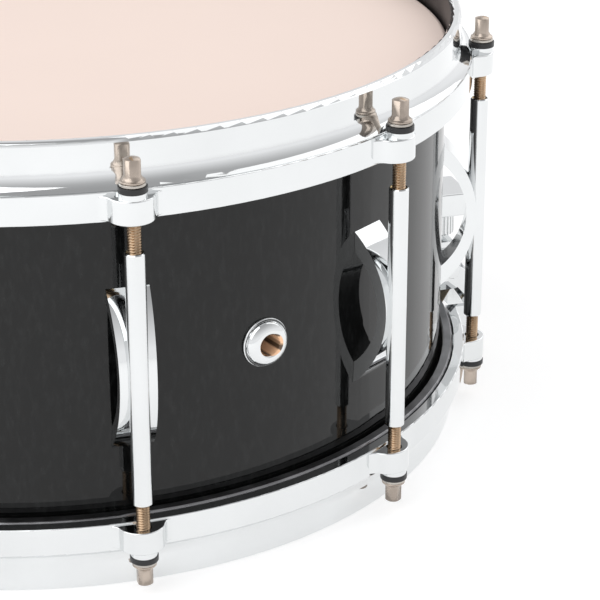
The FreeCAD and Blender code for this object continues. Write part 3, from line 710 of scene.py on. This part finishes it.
def rounded_path(corners, reach, steps):
    """The path with each inner corner turned into a short even bend."""
    points = [Vector(corners[0])]
    for before, corner, after in zip(corners, corners[1:], corners[2:]):
        corner = Vector(corner)
        into = corner + (Vector(before) - corner).normalized() * reach
        out = corner + (Vector(after) - corner).normalized() * reach
        for i in range(steps + 1):
            t = i / steps
            points.append(into * (1 - t) ** 2 + corner * 2 * t * (1 - t) + out * t ** 2)
    points.append(Vector(corners[-1]))
    return points


def strap_mesh(name, side):
    """A flat ribbon along the path, on the +X side or mirrored to -X, with softly rounded edges."""
    sizes = bpy.context.scene.drum_sizes
    path = rounded_path(STRAP_PATH, STRAP_BEND, BEND_STEPS)
    thick, wide = sizes.strap_thickness / 2 / MM, sizes.strap_width / 2 / MM
    section = [(thick, -wide + thick), (thick, wide - thick), (0, wide),
               (-thick, wide - thick), (-thick, -wide + thick), (0, -wide)]
    form = bmesh.new()
    rings = []
    for i, point in enumerate(path):
        along = (path[min(i + 1, len(path) - 1)] - path[max(i - 1, 0)]).normalized()
        across = Vector((-along.y, along.x))
        ring = []
        for out, y in section:
            place = point + across * out
            ring.append(form.verts.new((side * place.x * MM, y * MM, mid_height() + place.y * MM)))
        rings.append(ring)
    for ring, ahead in zip(rings, rings[1:]):
        for j in range(len(section)):
            k = (j + 1) % len(section)
            form.faces.new((ring[j], ring[k], ahead[k], ahead[j]))
    form.faces.new(rings[0])
    form.faces.new(rings[-1])
    bmesh.ops.recalc_face_normals(form, faces=form.faces)
    mesh = bpy.data.meshes.new(name)
    form.to_mesh(mesh)
    form.free()
    smooth(mesh, math.radians(50))
    return mesh


def make_straps():
    """The strap at the strainer drops with the snares; the one at the butt bends down from its clamp."""
    strainer = mesh_object("strap_strainer", strap_mesh("strap_strainer", 1), MATERIALS["strap"])
    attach(strainer, "snares")
    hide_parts("strainer_strap")
    butt = mesh_object("strap_butt", strap_mesh("strap_butt", -1), MATERIALS["strap"])
    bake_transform(butt)
    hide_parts("butt_strap")


# Stage

# Grey of the surround by height, from straight below (0) over the horizon (0.5) to straight above (1)
SKY_GREYS = ((0.0, 1.0), (0.58, 1.0), (0.635, 0.9), (0.71, 0.8), (0.8, 0.66), (0.9, 0.5), (1.0, 0.4))
SKY_BLUE = 1.01     # how much bluer than grey
FLOOR_HALF = 4.0
FLOOR_GREY = (0.55, 0.55, 0.55, 1)
KEY_PLACE, KEY_SIZE = (-1.3, -0.5, 1.7), 2.4
FILL_PLACE, FILL_SIZE = (1.4, 0.7, 1.6), 2.0
AIM = Vector((0, 0, 0.1))   # where the softboxes point


def make_camera(studio):
    data = bpy.data.cameras.new("Camera")
    data.lens = studio.lens
    data.clip_start = 0.05
    camera = bpy.data.objects.new("Camera", data)
    camera.location = studio.camera_place
    camera.rotation_euler = (math.pi / 2 - studio.camera_tilt, 0, -studio.camera_turn)
    bpy.context.scene.collection.objects.link(camera)
    bpy.context.scene.camera = camera


def make_world(studio):
    world = bpy.data.worlds.new("Studio")
    bpy.context.scene.world = world
    world.use_nodes = True
    nodes, links = world.node_tree.nodes, world.node_tree.links
    back = nodes["Background"]
    back.inputs["Strength"].default_value = studio.sky
    coords = nodes.new("ShaderNodeTexCoord")
    split = nodes.new("ShaderNodeSeparateXYZ")
    tone = nodes.new("ShaderNodeValToRGB")
    lift = nodes.new("ShaderNodeMapRange")
    lift.inputs["From Min"].default_value = -1
    links.new(coords.outputs["Generated"], split.inputs[0])
    links.new(split.outputs["Z"], lift.inputs["Value"])
    links.new(lift.outputs["Result"], tone.inputs["Fac"])
    links.new(tone.outputs["Color"], back.inputs["Color"])
    set_stops(tone, [(place, (grey, grey, grey * SKY_BLUE, 1)) for place, grey in SKY_GREYS])


def make_floor():
    half = FLOOR_HALF
    mesh = bpy.data.meshes.new("floor")
    corners = [(-half, -half, 0), (half, -half, 0), (half, half, 0), (-half, half, 0)]
    mesh.from_pydata(corners, [], [(0, 1, 2, 3)])
    material, shader = new_material("Pale floor")
    glow = bpy.context.scene.drum_studio.floor_glow
    shader.inputs["Base Color"].default_value = FLOOR_GREY
    shader.inputs["Emission Color"].default_value = (1, 1, 1, 1)
    shader.inputs["Emission Strength"].default_value = glow
    shader.inputs["Roughness"].default_value = 0.9
    floor = mesh_object("floor", mesh, material)


def make_softbox(name, place, size, power):
    data = bpy.data.lights.new(name, "AREA")
    data.shape = "SQUARE"
    data.size = size
    data.energy = power
    box = bpy.data.objects.new(name, data)
    box.location = place
    box.rotation_euler = (AIM - Vector(place)).to_track_quat("-Z", "Y").to_euler()
    bpy.context.scene.collection.objects.link(box)


# Operators

class DRUM_OT_finish_cad(bpy.types.Operator):
    """Make the materials and give them to the CAD nodes"""
    bl_idname = "drum.finish_cad"
    bl_label = "Finish CAD parts"

    def execute(self, context):
        make_materials(context.scene.drum_finishes)
        finish_cad_nodes()
        return {"FINISHED"}


class DRUM_OT_hoops(bpy.types.Operator):
    """Make the chrome hoops"""
    bl_idname = "drum.hoops"
    bl_label = "Hoops"

    def execute(self, context):
        make_hoops()
        return {"FINISHED"}


class DRUM_OT_rods(bpy.types.Operator):
    """Make the threaded tension rods"""
    bl_idname = "drum.rods"
    bl_label = "Tension rods"

    def execute(self, context):
        make_rods()
        return {"FINISHED"}


class DRUM_OT_snares(bpy.types.Operator):
    """Wind the snare coils"""
    bl_idname = "drum.snares"
    bl_label = "Snare coils"

    def execute(self, context):
        make_snare_coils()
        return {"FINISHED"}


class DRUM_OT_straps(bpy.types.Operator):
    """Lay the two snare straps"""
    bl_idname = "drum.straps"
    bl_label = "Snare straps"

    def execute(self, context):
        make_straps()
        return {"FINISHED"}


class DRUM_OT_stage(bpy.types.Operator):
    """Make the floor, the light and the camera"""
    bl_idname = "drum.stage"
    bl_label = "Stage"

    def execute(self, context):
        studio = context.scene.drum_studio
        make_floor()
        make_world(studio)
        make_softbox("key", KEY_PLACE, KEY_SIZE, studio.key)
        make_softbox("fill", FILL_PLACE, FILL_SIZE, studio.fill)
        make_camera(studio)
        context.scene.view_settings.view_transform = "Standard"
        return {"FINISHED"}


class DRUM_PT_panel(bpy.types.Panel):
    """The drum's steps and settings"""
    bl_label = "Drum"
    bl_idname = "DRUM_PT_panel"
    bl_space_type = "VIEW_3D"
    bl_region_type = "UI"
    bl_category = "Drum"

    def draw(self, context):
        for step in STEPS:
            self.layout.operator(step.bl_idname)
        for group in (context.scene.drum_sizes, context.scene.drum_finishes, context.scene.drum_studio):
            for name in group.__annotations__:
                self.layout.prop(group, name)


GROUPS = {"drum_sizes": DrumSizes, "drum_finishes": DrumFinishes, "drum_studio": DrumStudio}
STEPS = (DRUM_OT_finish_cad, DRUM_OT_hoops, DRUM_OT_rods, DRUM_OT_snares, DRUM_OT_straps, DRUM_OT_stage)


def register():
    for group in GROUPS.values():
        bpy.utils.register_class(group)
    for name, group in GROUPS.items():
        setattr(bpy.types.Scene, name, bpy.props.PointerProperty(type=group))
    for step in STEPS:
        bpy.utils.register_class(step)
    bpy.utils.register_class(DRUM_PT_panel)


def unregister():
    bpy.utils.unregister_class(DRUM_PT_panel)
    for step in reversed(STEPS):
        bpy.utils.unregister_class(step)
    for name in GROUPS:
        delattr(bpy.types.Scene, name)
    for group in GROUPS.values():
        bpy.utils.unregister_class(group)


def main():
    register()
    bpy.ops.drum.finish_cad()
    bpy.ops.drum.hoops()
    bpy.ops.drum.rods()
    bpy.ops.drum.snares()
    bpy.ops.drum.straps()
    bpy.ops.drum.stage()


if __name__ == "__main__":
    main()
